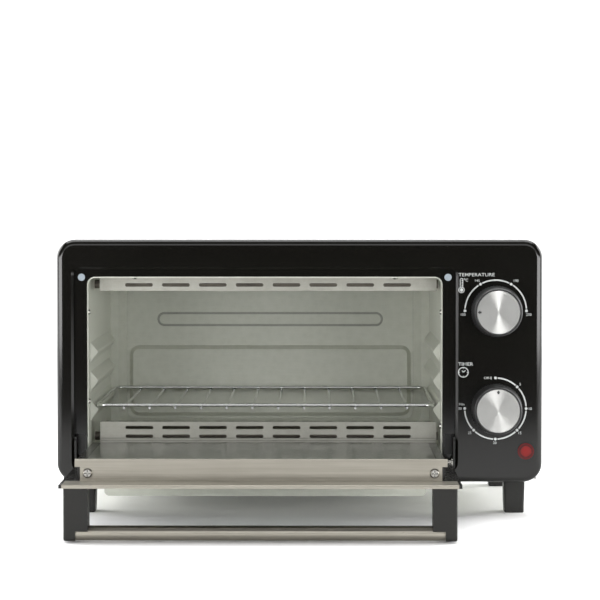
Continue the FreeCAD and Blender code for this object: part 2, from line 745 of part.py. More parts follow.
def cavity_back():
    body = new_body("cavity_back")
    start = cavity_back_y
    low, high = (oven_x - mouth_half, base_top), (oven_x + mouth_half, roof_z)
    pad(body, "front", start, steel, [(rectangle, low, high)])

    def dish(out):
        inset = size.bulge_inset - out
        low_corner = oven_x - mouth_half + inset, bulge_bottom - size.bulge_slope - out
        high_corner = oven_x + mouth_half - inset, roof_z - size.bulge_inset + out
        return rounded, low_corner, high_corner, size.bulge_inset + size.bulge_slope + out

    slope = Size(
        math.degrees(math.atan2(size.bulge_slope.value, size.bulge_depth.value)),
        f"(atan({size.bulge_slope.text} / {size.bulge_depth.text}) / 1 deg)",
    )
    pad(body, "front", start, size.bulge_depth + steel, [dish(steel)], taper=-slope)
    pocket(body, "front", start, size.bulge_depth, [dish(as_size(0))], taper=-slope)
    half = oval_length / 2

    def oval(inset):
        low_corner = oven_x - half + inset, oval_z - size.oval_height / 2 + inset
        return slot, low_corner, (oven_x + half - inset, oval_z + size.oval_height / 2 - inset)

    floor = start + size.bulge_depth
    ridge = [oval(-steel), oval(size.oval_groove + steel)]
    pad(body, "front", floor + steel / 2, size.oval_depth + steel / 2, ridge)
    pocket(body, "front", floor, size.oval_depth, [oval(as_size(0)), oval(size.oval_groove)])

    def step(out):
        edge = size.bulge_inset + size.bulge_slope + size.step_inset - out
        low_corner = oven_x - mouth_half + edge, bulge_bottom + size.step_inset - out
        return rounded, low_corner, (oven_x + mouth_half - edge, mouth_top - size.step_drop + out), size.step_inset + out

    near = floor - size.step_depth
    pad(body, "front", near, size.step_depth + steel / 2, [step(as_size(0))], taper=as_size(45))
    pocket(body, "front", near + steel, size.step_depth + steel, [step(-steel / 2)], taper=as_size(45))
    return node("cavity_back", body)


def guard(label, low_z, high_z, lip_low_z, first_row, row_step):
    """A slotted strip with a lip bent to the back."""
    body = new_body(label)
    x0, x1 = guard_x - guard_width / 2, guard_x + guard_width / 2
    y0 = size.inside_y
    lip = ((y0, lip_low_z), (y0 + size.guard_lip, lip_low_z + steel))
    pad(body, "side", x0, x1 - x0, [(rectangle, (y0, low_z), (y0 + steel, high_z))])
    pad(body, "side", x0, x1 - x0, [(rectangle, *lip)])
    start = guard_x - guard_width / 2 + size.slot_margin - slot_length / 2
    slots = []
    for i in range(2):
        middle = first_row + row_step * i
        low = start, middle - size.slot_height / 2
        slots.append((slot, low, (start + slot_length, middle + size.slot_height / 2)))
    repeat(body, pocket(body, "front", y0, steel, slots), "X_Axis", slot_pitch, size.slot_count)
    return body


def upper_heater_guard():
    low = upper_guard_z
    body = guard("upper_heater_guard", low, roof_z, low, low + size.slot_edge, size.slot_row)
    return node("upper_heater_guard", body)


def lower_heater_guard():
    high = lower_guard_z
    body = guard("lower_heater_guard", base_top, high, high - steel, high - size.slot_edge, -size.slot_row)
    fold_z = high - size.slot_edge - size.slot_row - 2.6
    x0, x1 = guard_x - guard_width / 2, guard_x + guard_width / 2
    y0 = size.inside_y
    pad(body, "side", x0, x1 - x0, [(rectangle, (y0 - 1.2, fold_z), (y0 + steel, fold_z + steel))])
    notch_pitch = slot_pitch / 3
    start = guard_x - notch_pitch * 13 - 2.2
    notch = (rectangle, (start, y0 + size.guard_lip - 3), (start + 4.4, y0 + size.guard_lip + 1))
    repeat(body, pocket(body, "top", high - steel, steel, [notch]), "X_Axis", notch_pitch, as_size(27))
    return node("lower_heater_guard", body)


def heaters():
    reach = mouth_half + size.heater_overhang
    for label, y, z in heater_places:
        tube = rod(label + "_tube", "x", size.heater_radius, (oven_x - reach, y, z), reach * 2)
        tail = reach + 3
        tails = rod(label + "_tails", "x", size.heater_radius / 2, (oven_x - tail, y, z), tail * 2)
        node(label, join(label, [tube, tails]))


def heater_insulators():
    made = []
    wall = mouth_half + steel
    for side, word in SIDES:
        for label, y, z in heater_places:
            name = f"{word}_{label}_collar"
            low, high = span(side, wall, wall + size.collar_length)
            flange = rod(name + "_flange", "x", size.collar_flange, (low, y, z), high - low)
            low, high = span(side, mouth_half, wall + 1)
            spigot = rod(name + "_spigot", "x", size.collar_radius - 0.1, (low, y, z), high - low)
            low, high = span(side, mouth_half - 1, wall + size.collar_length + 1)
            bore = rod(name + "_bore", "x", size.heater_radius + 0.1, (low, y, z), high - low)
            made.append(cut(name, join(name + "_body", [flange, spigot]), [bore]))
    return node("heater_insulators", group("collars", made))


# Casing.
cover_screw_y = size.body_depth - 5
cover_screw_low = base_z + 33
cover_screw_high = casing_top - 42.5
cover_screw_points = [
    (-casing_half, cover_screw_y, cover_screw_low),
    (-casing_half, cover_screw_y, cover_screw_high),
    (casing_half, cover_screw_y, cover_screw_low),
    (casing_half, cover_screw_y, cover_screw_high),
]
cover_screw_ways = ("-x", "-x", "+x", "+x")
cover_screw_head = 3


def bored(label, thing, holes):
    """A finished piece with its screw holes cut."""
    return node(label, cut(label + "_bored", thing, holes))


def outer_casing():
    body = new_body("casing_wrap")
    start, length = size.frame_depth, size.body_depth - size.frame_depth
    corner = size.casing_corner

    def wrap(inset):
        low = -casing_half + inset, base_z - corner * 2
        return rounded, low, (casing_half - inset, casing_top - inset), corner - inset

    pad(body, "front", start, length, [wrap(as_size(0)), wrap(steel)])
    skirt = (rectangle, (-casing_half - 1, base_z - corner * 3), (casing_half + 1, base_z))
    pocket(body, "front", start, length, [skirt])
    vent_y = size.body_depth - 60
    vent_low = frame_bottom + 64
    vent = (slot, (vent_y, vent_low), (vent_y + 40, vent_low + 3))
    side_start = casing_half - steel * 2
    repeat(body, pocket(body, "side", side_start, steel * 3, [vent]), "Z_Axis", (casing_top - vent_low - 40.5) / 9, as_size(10))
    holes = screw_holes("casing_hole", cover_screw_ways, cover_screw_points, cover_screw_head, 6)
    return bored("outer_casing", body, holes)


def back_cover():
    body = new_body("back_pan")
    depth = size.guard_lip + steel * 4
    start = size.body_depth - depth

    def pan(inset):
        low = -casing_half + steel + inset, base_top + inset
        high = casing_half - steel - inset, casing_top - steel - inset
        return rounded, low, high, size.casing_corner - steel - inset

    pad(body, "front", start, depth, [pan(as_size(0))])
    pocket(body, "front", start, depth - steel, [pan(steel)])
    pitch = (casing_half * 2 - 53) / 10
    start = 26.5 - casing_half
    vents = []
    for drop in (32.5, 42.5, 52.5):
        low = casing_top - drop
        vents.append((slot, (start, low), (start + pitch - 8, low + 3)))
    repeat(body, pocket(body, "front", back_inner_y, steel, vents), "X_Axis", pitch, as_size(10))
    gland = (circle, gland_x, gland_z, size.gland_radius - 2)
    pocket(body, "front", back_inner_y, steel, [gland])
    holes = screw_holes("cover_hole", cover_screw_ways, cover_screw_points, cover_screw_head, 6)
    return bored("back_cover", body, holes)


foot_x = size.body_width / 2 - size.foot_edge - size.foot_width / 2
foot_places = [
    (word, row, side * foot_x, y + size.foot_depth / 2)
    for side, word in SIDES
    for row, y in (
        ("front", size.front_foot_y),
        ("rear", size.body_depth - size.rear_foot_gap - size.foot_depth),
    )
]
foot_points = [(x, y, base_top) for _, _, x, y in foot_places]
foot_screw_head = 3


def base_plate():
    body = new_body("base_sheet")
    half = casing_half - steel
    sheet_outline = (rectangle, (-half, size.frame_depth), (half, size.body_depth))
    low = oven_x - opening_width / 2, opening_y
    high = oven_x + opening_width / 2, opening_y + opening_length
    pad(body, "top", base_z, steel, [sheet_outline, (rounded, low, high, as_size(6))])
    holes = screw_holes("base_hole", "+z", foot_points, foot_screw_head, 9)
    return bored("base_plate", body, holes)


def feet():
    for word, row, x, y in foot_places:
        label = f"{row}_{word}_foot"
        body = new_body(label + "_block")
        half, taper = size.foot_width / 2, 0.8
        corners = [(x - half + taper, 0), (x + half - taper, 0), (x + half, base_z), (x - half, base_z)]
        pad(body, "front", y - size.foot_depth / 2, size.foot_depth, [(polygon, corners)])
        soften(body, "Fillet", as_size(1.6), lambda edge: edge.BoundBox.ZLength > base_z.value - 1)
        soften(body, "Chamfer", as_size(0.6), lambda edge: lies_at(edge, z=0))
        point = [(x, y, base_top)]
        bored(label, body, screw_holes(label + "_hole", "+z", point, foot_screw_head, 9))


# Crumb tray.
tray_half = tray_width / 2
tray_low = frame_bottom - size.tray_drop
tray_high = frame_bottom - 0.6
runner_low = tray_high - steel * 2 - size.fit_gap


def crumb_tray():
    body = new_body("crumb_tray")
    start, length = size.tray_front_y, tray_length

    def pan(inset):
        low = oven_x - tray_half + inset, tray_low + inset
        high = oven_x + tray_half - inset, tray_high + size.tray_corner * 2
        return rounded, low, high, size.tray_corner - inset

    pad(body, "front", start, length, [pan(as_size(0))])
    pocket(body, "front", start + steel, length - steel * 2, [pan(steel)])
    x0, x1 = oven_x - tray_half - 1, oven_x + tray_half + 1
    above = (rectangle, (x0, start - 1), (x1, start + length + 1))
    pocket(body, "top", tray_high, size.tray_corner * 3, [above])
    for side, _ in SIDES:
        low, high = span(side, tray_half - steel / 2, tray_half + size.tray_lip)
        lip = (rectangle, (low, start + 6), (high, start + length))
        pad(body, "top", tray_high - steel, steel, [lip])
    return node("crumb_tray", body)


def tray_runners():
    made = []
    y0, y1 = size.tray_front_y + 6, size.tray_front_y + tray_length
    inner = tray_half + size.tray_lip + size.fit_gap
    for side, word in SIDES:
        low, high = span(side, inner, inner + steel)
        leg = box(word + "_runner_leg", (low, y0, runner_low), (high, y1, base_z))
        low, high = span(side, tray_half + size.fit_gap, inner + steel)
        ledge = box(word + "_runner_ledge", (low, y0, runner_low), (high, y1, runner_low + steel))
        made.append(join(word + "_runner", [leg, ledge]))
    return node("tray_runners", group("runners", made))


# Wire rack.
def wire_rack():
    wire, rod_radius, bend = size.rack_wire, size.rack_rod, size.rack_corner
    slope = (size.rib_base - size.rib_crest) / 2 / size.rib_reach
    inward = size.rib_reach - 0.3
    overhang = size.rib_reach - inward
    rest = root(1 + slope * slope) * (wire + size.fit_gap)
    z = rack_rib_z + size.rib_crest / 2 + overhang * slope + rest
    half = mouth_half - inward
    x0, x1 = oven_x - half, oven_x + half
    y0, y1 = size.inside_y + wire, cavity_back_y - size.rack_rear_gap - wire
    pieces = [
        rod("rack_front", "x", wire, (x0 + bend, y0, z), x1 - x0 - bend * 2),
        rod("rack_back", "x", wire, (x0 + bend, y1, z), x1 - x0 - bend * 2),
        rod("rack_left", "y", wire, (x0, y0 + bend, z), y1 - y0 - bend * 2),
        rod("rack_right", "y", wire, (x1, y0 + bend, z), y1 - y0 - bend * 2),
    ]
    bends = ((x1 - bend, y1 - bend), (x0 + bend, y1 - bend), (x0 + bend, y0 + bend), (x1 - bend, y0 + bend))
    for i, (x, y) in enumerate(bends):
        corner = doc.addObject("Part::Torus", f"rack_bend_{i}")
        bind(corner, Radius1=bend, Radius2=wire)
        corner.Angle3 = 90
        pieces.append(place(corner, x, y, z, turn=Rotation(Vector(0, 0, 1), 90 * i)))
    below = z - wire - rod_radius + size.weld_sink
    rods = int(size.rack_rod_count.value)
    for i in range(rods):
        x = oven_x + rack_rod_pitch * (i - (rods - 1) / 2)
        pieces.append(rod(f"rack_rod_{i}", "y", rod_radius, (x, y0 - wire, below), y1 - y0 + wire * 2))
    return node("wire_rack", join("rack_wires", pieces))


# Door. Its sizes run from the hinge axis towards the lip, and it lies open.
glass_half = box_half - size.side_width
shelf_half = glass_half - size.side_shelf
rail_back_y = rail_y + size.rail_sheet
sill_rail = 3
rail_screw_z = hinge_z + 5.4
rail_screw_head = 3.5
rail_screw_out = box_half - 7.1
rail_screw_points = [(oven_x + side * rail_screw_out, rail_y, rail_screw_z) for side, _ in SIDES]


def door_side(side, word):
    name = f"door_{word}_side"

    def across(inner, outer):
        return span(side, inner, outer)

    x0, x1 = across(glass_half, box_half)
    upright = box(name + "_upright", (x0, rail_back_y, door_floor), (x1, door_near_y, door_top))
    x0, x1 = across(shelf_half, glass_half)
    shelf = box(name + "_shelf", (x0, rail_back_y, door_floor), (x1, door_near_y, glass_low))
    x0, x1 = across(shelf_half, door_half)
    flange = box(name + "_flange", (x0, rail_back_y, door_bottom), (x1, door_near_y, door_floor))
    under_low = x0, door_lip_y + size.rail_sheet, door_bottom
    under = box(name + "_under", under_low, (x1, rail_back_y, door_floor - size.rail_sheet))
    x0, x1 = across(door_half - size.lip_inset, door_half)
    cap = box(name + "_cap", (x0, door_lip_y, door_bottom), (x1, rail_back_y, door_floor))
    x0, x1 = across(glass_half, box_half)
    knuckle_start = x0, size.hinge_y, hinge_z
    knuckle = rod(name + "_knuckle", "x", size.knuckle_radius, knuckle_start, x1 - x0)
    arm_low = x0, door_near_y - 0.5, door_floor
    arm = box(name + "_arm", arm_low, (x1, size.hinge_y, hinge_z + size.knuckle_radius))
    bore = rod(name + "_bore", "x", size.pin_radius + size.running_gap, knuckle_start, x1 - x0)
    point = [rail_screw_points[side == RIGHT]]
    holes = screw_holes(name + "_hole", "-y", point, rail_screw_head, 8)
    pieces = [upright, shelf, flange, under, cap, knuckle, arm]
    return node(name, cut(name + "_bored", join(name + "_blank", pieces), [bore, *holes]))


def door_bottom_rail():
    y1 = door_near_y
    low_bar = box(
        "sill_low",
        (oven_x - shelf_half, y1 - sill_rail * 3, door_floor),
        (oven_x + shelf_half, y1, glass_low),
    )
    high_bar = box(
        "sill_high",
        (oven_x - glass_half, y1 - sill_rail, glass_low),
        (oven_x + glass_half, y1, door_top),
    )
    return node("door_bottom_rail", join("door_sill", [low_bar, high_bar]))


def door_glass():
    half = glass_half - size.fit_gap
    low = oven_x - half, rail_back_y + size.fit_gap, glass_low
    high = oven_x + half, door_near_y - sill_rail - size.fit_gap, door_top
    return node("door_glass", box("glass_pane", low, high))


def door_top_rail():
    body = new_body("rail_sheet")
    half = door_half - size.lip_inset - size.fit_gap
    sheet_thickness = size.rail_sheet
    plate_low = door_floor - sheet_thickness
    profile = [
        (door_lip_y, door_bottom),
        (door_lip_y + sheet_thickness, door_bottom),
        (door_lip_y + sheet_thickness, plate_low),
        (rail_back_y, plate_low),
        (rail_back_y, door_floor),
        (door_lip_y, door_floor),
    ]
    pad(body, "side", oven_x - half, half * 2, [(polygon, profile)])
    soften(body, "Fillet", sheet_thickness * 0.8, lambda edge: lies_at(edge, y=door_lip_y, z=door_floor))
    face = box_half - size.rail_step
    face_outline = [(rectangle, (oven_x - face, plate_low), (oven_x + face, door_top))]
    pad(body, "front", rail_y, sheet_thickness, face_outline)
    wing = box_half + size.rail_step
    wing_low, wing_high = (oven_x - wing, door_top - size.rail_wing), (oven_x + wing, door_top)
    pad(body, "front", rail_y, sheet_thickness, [(rectangle, wing_low, wing_high)])
    soften(body, "Fillet", sheet_thickness * 0.6, lambda edge: lies_at(edge, y=rail_y, z=door_top))
    holes = screw_holes("rail_hole", "-y", rail_screw_points, rail_screw_head, 8)
    return bored("door_top_rail", body, holes)


post_y = door_lip_y + size.post_end
bar_y = post_y + size.post_depth / 2
bar_low = door_bottom - size.post_length
bar_end = post_outer - size.post_lug


def bar_section(inset):
    half_depth = size.bar_depth / 2 - inset
    low = bar_y - half_depth, bar_low + inset
    high = bar_y + half_depth, bar_low + size.bar_height - inset
    return rounded, low, high, size.bar_height * 0.46 - inset


def handle_post(side, word):
    body = new_body(f"{word}_handle_post")
    y1 = post_y + size.post_depth
    inner = post_outer - size.post_width
    low, high = span(side, inner, bar_end)
    saddle_z = bar_low + size.post_saddle
    pad(body, "side", low, high - low, [(rectangle, (post_y, saddle_z), (y1, door_bottom))])
    low, high = span(side, bar_end, post_outer)
    pad(body, "side", low, high - low, [(rectangle, (post_y, bar_low), (y1, door_bottom))])
    soften(
        body,
        "Fillet",
        as_size(2.5),
        lambda edge: lies_at(edge, z=bar_low) and edge.BoundBox.YLength < 1e-4,
    )
    low, high = span(side, inner, bar_end)
    pocket(body, "side", low, high - low, [bar_section(as_size(-0.1))])
    outer_face = span(side, inner, post_outer)[side == RIGHT]
    soften(
        body,
        "Fillet",
        as_size(1.2),
        lambda edge: lies_at(edge, x=outer_face) and edge.BoundBox.YLength < 1e-4,
    )
    return node(f"{word}_handle_post", body)


def handle_bar():
    body = new_body("handle_bar")
    outlines = [bar_section(as_size(0)), bar_section(size.bar_wall)]
    pad(body, "side", oven_x - bar_end, bar_end * 2, outlines)
    return node("handle_bar", body)


bracket_outer = pocket_outer - 0.2
bracket_inner = bracket_outer - size.bracket_steel


def hinge_pins():
    made = []
    for side, word in SIDES:
        low, high = span(side, glass_half + 0.5, bracket_outer)
        shaft = rod(word + "_pin_shaft", "x", size.pin_radius, (low, size.hinge_y, hinge_z), high - low)
        low, high = span(side, door_half + 0.15, bracket_inner - 0.15)
        collar = rod(word + "_pin_collar", "x", size.pin_collar, (low, size.hinge_y, hinge_z), high - low)
        made.append(join(word + "_pin", [shaft, collar]))
    return node("hinge_pins", group("pins", made))


def hinge_bracket(side, word):
    body = new_body(f"{word}_hinge_bracket")
    low_z = sill_top + 0.6
    high_z = low_z + size.bracket_height
    low, high = span(side, bracket_inner, bracket_outer)
    leaf = (rectangle, (as_size(0), low_z), (pocket_floor_y, high_z))
    pad(body, "side", low, high - low, [leaf])
    soften(
        body,
        "Fillet",
        size.bracket_height / 4,
        lambda edge: lies_at(edge, y=0, z=high_z),
    )
    bore = (circle, size.hinge_y, hinge_z, size.pin_radius + size.running_gap)
    pocket(body, "side", low, high - low, [bore])
    low, high = span(side, pocket_inner + size.fit_gap, bracket_inner + 0.2)
    foot_y = pocket_floor_y - size.bracket_steel
    tab = (rectangle, (foot_y, hinge_z + size.knuckle_radius * 1.5), (pocket_floor_y, high_z))
    pad(body, "side", low, high - low, [tab])
    return node(f"{word}_hinge_bracket", body)


def door_bumpers():
    z = recess_top - size.bumper_drop
    start = size.recess_depth - size.bumper_reach
    made = []
    for side, word in SIDES:
        point = oven_x + side * bumper_x, start, z
        made.append(rod(word + "_bumper", "y", size.bumper_radius, point, size.bumper_reach))
    return node("door_bumpers", group("bumpers", made))


# Controls.
knob_front = -size.knob_reach
shaft_front = knob_front + 7
body_y = size.bracket_y + steel


def knob(label, z):
    body = place(doc.addObject("PartDesign::Body", label), control_x, 0, z)
    back = -size.knob_gap
    floor = knob_front + size.disc_sheet
    bore = size.shaft_radius + size.running_gap
    profile = [
        (back, bore),
        (back, size.knob_radius),
        (knob_front + 0.8, size.knob_rim),
        (knob_front, size.knob_rim - 0.7),
        (knob_front, size.disc_radius),
        (floor, size.disc_radius),
        (floor, as_size(0)),
        (shaft_front, as_size(0)),
        (shaft_front, bore),
    ]
    turned = body.newObject("PartDesign::Revolution", label + "_turned")
    turned.Profile = draw(body, "side", 0, [(polygon, profile)])
    turned.ReferenceAxis = (turned.Profile[0], ["H_Axis"])
    groove = pocket(
        body,
        "front",
        knob_front,
        size.knob_reach,
        [(circle, size.knob_radius, as_size(0), size.knob_groove)],
    )
    ring = body.newObject("PartDesign::PolarPattern", label + "_grip")
    ring.Originals = [groove]
    ring.Axis = (next(f for f in body.Origin.OriginFeatures if f.Role == "Y_Axis"), [""])
    ring.Angle = 360
    bind(ring, Occurrences=size.groove_count)
    body.Tip = ring
    return node(label, body)


def knob_face(label, z):
    body = place(doc.addObject("PartDesign::Body", label), control_x, 0, z)
    disc = (circle, as_size(0), as_size(0), size.disc_radius - size.running_gap)
    pad(body, "front", knob_front, size.disc_sheet, [disc])
    soften(body, "Chamfer", size.disc_sheet / 2.4, lambda edge: lies_at(edge, y=knob_front))
    return node(label, body)


def control_shaft(label, z):
    length = body_y + 6 - shaft_front
    return node(label, rod(label + "_bar", "y", size.shaft_radius, (control_x, shaft_front, z), length))


def switch_body(label, z, half_x, half_z, depth):
    """A boxed switch with a threaded bush that carries its shaft."""
    x = control_x
    case = box(label + "_case", (x - half_x, body_y, z - half_z), (x + half_x, body_y + depth, z + half_z))
    bush_y = body_y - size.bush_length
    bush = rod(label + "_bush", "y", size.bush_radius, (x, bush_y, z), size.bush_length + 1)
    bore_radius = size.shaft_radius + size.running_gap
    bore = rod(label + "_bore", "y", bore_radius, (x, bush_y - 1, z), size.bush_length + 8)
    return cut(label + "_bored", join(label + "_blank", [case, bush]), [bore])


def bush_nuts():
    made = []
    for word, z in (("temperature", temperature_z), ("timer", timer_z)):
        blank = doc.addObject("Part::Prism", word + "_nut_blank")
        blank.Polygon = 6
        bind(blank, Circumradius=size.bush_radius + 3.2, Height=3)
        place(blank, control_x, size.bracket_y - 3, z, turn=AXIS_TURN["y"])
        start = control_x, size.bracket_y - 4, z
        bore = rod(word + "_nut_bore", "y", size.bush_radius + size.running_gap, start, 5)
        made.append(cut(word + "_nut", blank, [bore]))
    return node("bush_nuts", group("nuts", made))


bay_low_x = oven_x + recess_width / 2 + 3


def control_bracket():
    body = new_body("control_bracket")
    outlines = [(rectangle, (bay_low_x, base_top), (casing_half - steel * 3, frame_top - 20))]
    for z in (temperature_z, timer_z):
        outlines.append((circle, control_x, z, size.bush_radius + size.running_gap))
    pad(body, "front", size.bracket_y, steel, outlines)
    return node("control_bracket", body)


def heat_shield():
    low = bay_low_x, size.bracket_y + 6, base_top
    high = bay_low_x + steel, cavity_back_y, roof_z
    return node("heat_shield", box("shield", low, high))


timer_half = size.panel_width / 2 - size.switch_margin
timer_half_height = 22
timer_depth = 28
bell_radius = timer_half - 2
bell_sheet = 1
bell_gap = 2
bell_depth = 10


def timer():
    x, z = control_x, timer_z
    blank = switch_body("timer_case", z, timer_half, timer_half_height, timer_depth)
    back = body_y + timer_depth
    stud_radius = 3
    stud = rod("timer_stud", "y", stud_radius, (x, back - 1, z), bell_gap + bell_depth + 2)
    node("timer_body", join("timer_with_stud", [blank, stud]))
    cup = rod("bell_cup", "y", bell_radius, (x, back + bell_gap, z), bell_depth)
    inside = bell_radius - bell_sheet
    hollow = rod("bell_hollow", "y", inside, (x, back + bell_gap - bell_sheet, z), bell_depth)
    hole_radius = stud_radius + size.running_gap
    hole = rod("bell_hole", "y", hole_radius, (x, back + bell_gap, z), bell_depth + 1)
    return node("timer_bell", cut("bell", cup, [hollow, hole]))


def lamp():
    x, z = lamp_x, lamp_z
    rim_reach = size.lamp_reach * 0.65
    rim = rod("lens_rim", "y", size.lamp_radius, (x, -rim_reach, z), rim_reach)
    dome = rod("lens_dome", "y", size.lamp_radius * 0.74, (x, -size.lamp_reach, z), size.lamp_reach)
    stem_radius = size.lamp_bore - 0.1
    stem = rod("lens_stem", "y", stem_radius, (x, as_size(-0.5), z), as_size(8.5))
    node("lamp_lens", join("lens", [rim, dome, stem]))
    holder_start = x, size.frame_wall, z
    holder_length = size.bracket_y - size.frame_wall - size.fit_gap
    holder = rod("lamp_holder", "y", 7, holder_start, holder_length)
    socket = rod("lamp_socket", "y", stem_radius + 0.05, holder_start, 8 - size.frame_wall)
    return node("lamp_body", cut("lamp_holder_bored", holder, [socket]))


def terminal_block():
    x, y = gland_x, back_inner_y - 40
    return node("terminal_block", box("terminals", (x - 12, y, base_top), (x + 12, y + 14, base_top + 12)))


def cord_gland():
    x, z, outer = gland_x, gland_z, size.gland_radius
    flange = rod("gland_flange", "y", outer, (x, size.body_depth, z), 2.5)
    nose = rod("gland_nose", "y", outer - 2.5, (x, size.body_depth, z), size.gland_reach)
    neck = rod("gland_neck", "y", outer - 2 - 0.1, (x, back_inner_y - 3, z), steel + 4)
    inner = rod("gland_collar", "y", outer, (x, back_inner_y - 3, z), 3)
    bore = rod("gland_bore", "y", 3.4, (x, back_inner_y - 4, z), size.gland_reach + 8)
    return node("cord_gland", cut("gland", join("gland_blank", [flange, nose, neck, inner]), [bore]))


front_frame()
mouth_ring()
screws("mouth_screws", mouth_screw_ways, mouth_screw_points, mouth_screw_head, 0.5)
for side, word in SIDES:
    cavity_wall(side, word)
    door_side(side, word)
    handle_post(side, word)
    hinge_bracket(side, word)
cavity_roof()
cavity_back()
upper_heater_guard()
lower_heater_guard()
heaters()
heater_insulators()
outer_casing()
back_cover()
screws("cover_screws", cover_screw_ways, cover_screw_points, cover_screw_head, 6)
base_plate()
feet()
screws("foot_screws", "+z", foot_points, foot_screw_head, 9)
crumb_tray()
tray_runners()
wire_rack()
door_bottom_rail()
door_glass()
door_top_rail()
screws("rail_screws", "-y", rail_screw_points, rail_screw_head, 8)
handle_bar()
hinge_pins()
door_bumpers()
for word, z in (("temperature", temperature_z), ("timer", timer_z)):
    knob(word + "_knob", z)
    knob_face(word + "_knob_face", z)
control_shaft("thermostat_shaft", temperature_z)
control_shaft("timer_shaft", timer_z)
thermostat_half = timer_half - 5
thermostat_half_height = 13
thermostat_depth = 26
case = switch_body(
    "thermostat_case", temperature_z, thermostat_half, thermostat_half_height, thermostat_depth
)
node("thermostat_body", case)
timer()
bush_nuts()
control_bracket()
heat_shield()
lamp()
terminal_block()
cord_gland()

doc.recompute()
for thing in doc.Objects:
    if "Invalid" in thing.State or "Error" in thing.State:
        raise RuntimeError(f"{thing.Label} failed: {thing.State}")
whole = FreeCAD.BoundBox()
for thing in nodes:
    if thing.Shape.isNull() or not thing.Shape.isValid() or not thing.Shape.Solids:
        raise RuntimeError(f"{thing.Label} has no valid shape")
    whole.add(thing.Shape.BoundBox)

os.makedirs("parts", exist_ok=True)
for thing in nodes:
    thing.Shape.exportStep(f"parts/{thing.Label}.step")
print(f"{len(nodes)} nodes, {sum(len(thing.Shape.Solids) for thing in nodes)} solids")
print(f"Y {whole.YMin:.2f} to {whole.YMax:.2f}, Z from {whole.ZMin:.2f}")
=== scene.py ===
"""The visual model of a small toaster oven with its door open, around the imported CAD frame."""

import json
import math

import bmesh
import bpy
from mathutils import Euler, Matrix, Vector


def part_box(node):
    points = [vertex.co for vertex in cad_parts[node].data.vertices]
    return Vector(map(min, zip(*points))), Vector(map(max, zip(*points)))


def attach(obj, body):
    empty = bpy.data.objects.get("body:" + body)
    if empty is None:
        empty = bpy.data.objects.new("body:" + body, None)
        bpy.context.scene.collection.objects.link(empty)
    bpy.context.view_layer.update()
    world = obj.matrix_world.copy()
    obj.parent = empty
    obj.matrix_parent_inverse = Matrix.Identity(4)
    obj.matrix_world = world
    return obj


MM = 0.001

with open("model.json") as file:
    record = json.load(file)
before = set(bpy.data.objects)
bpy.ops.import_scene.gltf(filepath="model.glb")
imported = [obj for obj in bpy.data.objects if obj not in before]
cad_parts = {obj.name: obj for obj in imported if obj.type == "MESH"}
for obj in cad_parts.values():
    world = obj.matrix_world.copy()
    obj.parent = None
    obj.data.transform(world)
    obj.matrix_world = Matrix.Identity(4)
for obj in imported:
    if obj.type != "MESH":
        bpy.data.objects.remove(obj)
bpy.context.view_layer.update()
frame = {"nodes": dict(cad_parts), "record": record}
record = frame["record"]


# ---------------------------------------------------------------- materials

# the Mix node's sockets by number, since several share one name
FLOAT_A, FLOAT_B, FLOAT_RESULT = 2, 3, 0
COLOUR_A, COLOUR_B, COLOUR_RESULT = 6, 7, 2

# most noise lies between these two, so patterns are spread over them
LOW, HIGH = 0.3, 0.7

# how much open air there is in a groove, and on a plain surface
SHUT, OPEN = 0.45, 0.85


